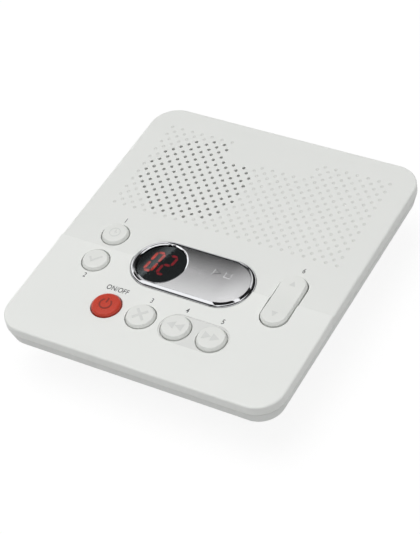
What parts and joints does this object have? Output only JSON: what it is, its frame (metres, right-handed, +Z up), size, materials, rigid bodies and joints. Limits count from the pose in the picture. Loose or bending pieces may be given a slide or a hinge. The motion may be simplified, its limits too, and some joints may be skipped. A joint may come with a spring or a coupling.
{
  "type": "answering machine",
  "caption": "Desk-top digital answering machine: thin rounded slab on a deeper base, push keys, volume rocker, display window and drilled speaker grille.",
  "frame": {"origin": "on the surface that the feet stand on, under the middle of the slab", "axes": "+X to the user's right, +Y from the user towards the back, +Z up"},
  "size_m": [0.129, 0.142, 0.0354],
  "materials": {
    "abs_white": "fine moulded texture",
    "abs_base": "fine moulded texture",
    "chrome": "bright plating on plastic",
    "satin_chrome": "satin plating on plastic",
    "smoked_lens": "smoked polished acrylic",
    "black_plastic": "matte",
    "lit_red": "lit segments",
    "red_key": "translucent red",
    "key_white": "smooth satin",
    "silicone": "soft silicone",
    "circuit_board": "solder mask",
    "lamp": "lamp body",
    "grille_cloth": "black felt",
    "foam": "closed-cell foam",
    "pressed_steel": "zinc-plated",
    "ferrite": "ground ferrite",
    "paper_cone": "coated paper",
    "wire_red": "wire insulation",
    "transformer_tape": "tape-wound",
    "relay_case": "moulded case",
    "capacitor_sleeve": "printed sleeve",
    "connector_nylon": "nylon",
    "ribbon": "flat cable",
    "gold_contact": "gold-flashed",
    "nickel": "nickel plated",
    "foot_rubber": "matte rubber"
  },
  "bodies": {
    "housing": {"front_cover": "abs_white", "grille_cover": "abs_white", "slab_tray": "abs_base", "bottom_case": "abs_base", "bezel": "chrome", "display_lens": "smoked_lens", "display_module": "black_plastic", "display_digits": "lit_red", "keypad_board": "circuit_board", "keypad_mat": "silicone", "keypad_screws": "pressed_steel", "power_lamp": "lamp", "clock_dome": "silicone", "setup_dome": "silicone", "power_dome": "silicone", "delete_dome": "silicone", "repeat_dome": "silicone", "skip_dome": "silicone", "play_dome": "silicone", "volume_domes": "silicone", "speaker_cloth": "grille_cloth", "speaker_gasket": "foam", "speaker_basket": "pressed_steel", "speaker_magnet": "ferrite", "speaker_cone": "paper_cone", "speaker_clamps": "pressed_steel", "speaker_leads": "wire_red", "microphone": "pressed_steel", "microphone_boot": "foam", "main_board": "circuit_board", "processor": "black_plastic", "memory_chip": "black_plastic", "line_transformer": "transformer_tape", "line_relay": "relay_case", "capacitors": "capacitor_sleeve", "crystal": "pressed_steel", "regulator": "black_plastic", "board_connectors": "connector_nylon", "ribbon_cable": "ribbon", "line_jack": "connector_nylon", "phone_jack": "connector_nylon", "jack_contacts": "gold_contact", "power_jack": "black_plastic", "power_jack_pin": "nickel", "case_screws": "pressed_steel", "board_screws": "pressed_steel", "foot_front_left": "foot_rubber", "foot_front_right": "foot_rubber", "foot_back_left": "foot_rubber", "foot_back_right": "foot_rubber"},
    "clock_key": {"clock_key": "key_white"},
    "setup_key": {"setup_key": "key_white"},
    "power_key": {"power_key": "red_key"},
    "delete_key": {"delete_key": "key_white"},
    "repeat_key": {"repeat_key": "key_white"},
    "skip_key": {"skip_key": "key_white"},
    "play_key": {"play_key": "satin_chrome"},
    "volume_rocker": {"volume_rocker": "key_white"}
  },
  "joints": [
    {"name": "clock_press", "type": "slide", "parent": "housing", "child": "clock_key", "axis": [0, 0, 1], "range_m": [-0.0007, 0], "stiffness_N_per_m": 400, "springref_m": 0.0015, "deforming": ["clock_dome"]},
    {"name": "setup_press", "type": "slide", "parent": "housing", "child": "setup_key", "axis": [0, 0, 1], "range_m": [-0.0007, 0], "stiffness_N_per_m": 400, "springref_m": 0.0015, "deforming": ["setup_dome"]},
    {"name": "power_press", "type": "slide", "parent": "housing", "child": "power_key", "axis": [0, 0, 1], "range_m": [-0.0007, 0], "stiffness_N_per_m": 400, "springref_m": 0.0015, "deforming": ["power_dome"]},
    {"name": "delete_press", "type": "slide", "parent": "housing", "child": "delete_key", "axis": [0, 0, 1], "range_m": [-0.0007, 0], "stiffness_N_per_m": 400, "springref_m": 0.0015, "deforming": ["delete_dome"]},
    {"name": "repeat_press", "type": "slide", "parent": "housing", "child": "repeat_key", "axis": [0, 0, 1], "range_m": [-0.0007, 0], "stiffness_N_per_m": 400, "springref_m": 0.0015, "deforming": ["repeat_dome"]},
    {"name": "skip_press", "type": "slide", "parent": "housing", "child": "skip_key", "axis": [0, 0, 1], "range_m": [-0.0007, 0], "stiffness_N_per_m": 400, "springref_m": 0.0015, "deforming": ["skip_dome"]},
    {"name": "play_press", "type": "slide", "parent": "housing", "child": "play_key", "axis": [0, 0, 1], "range_m": [-0.0007, 0], "stiffness_N_per_m": 400, "springref_m": 0.0015, "deforming": ["play_dome"]},
    {"name": "volume_rock", "type": "hinge", "parent": "housing", "child": "volume_rocker", "pos_m": [0.0423, -0.0173, 0.0303], "axis": [1, 0, 0], "range_deg": [-2.5, 2.5], "stiffness_Nm_per_rad": 0.2, "deforming": ["volume_domes"]}
  ]
}
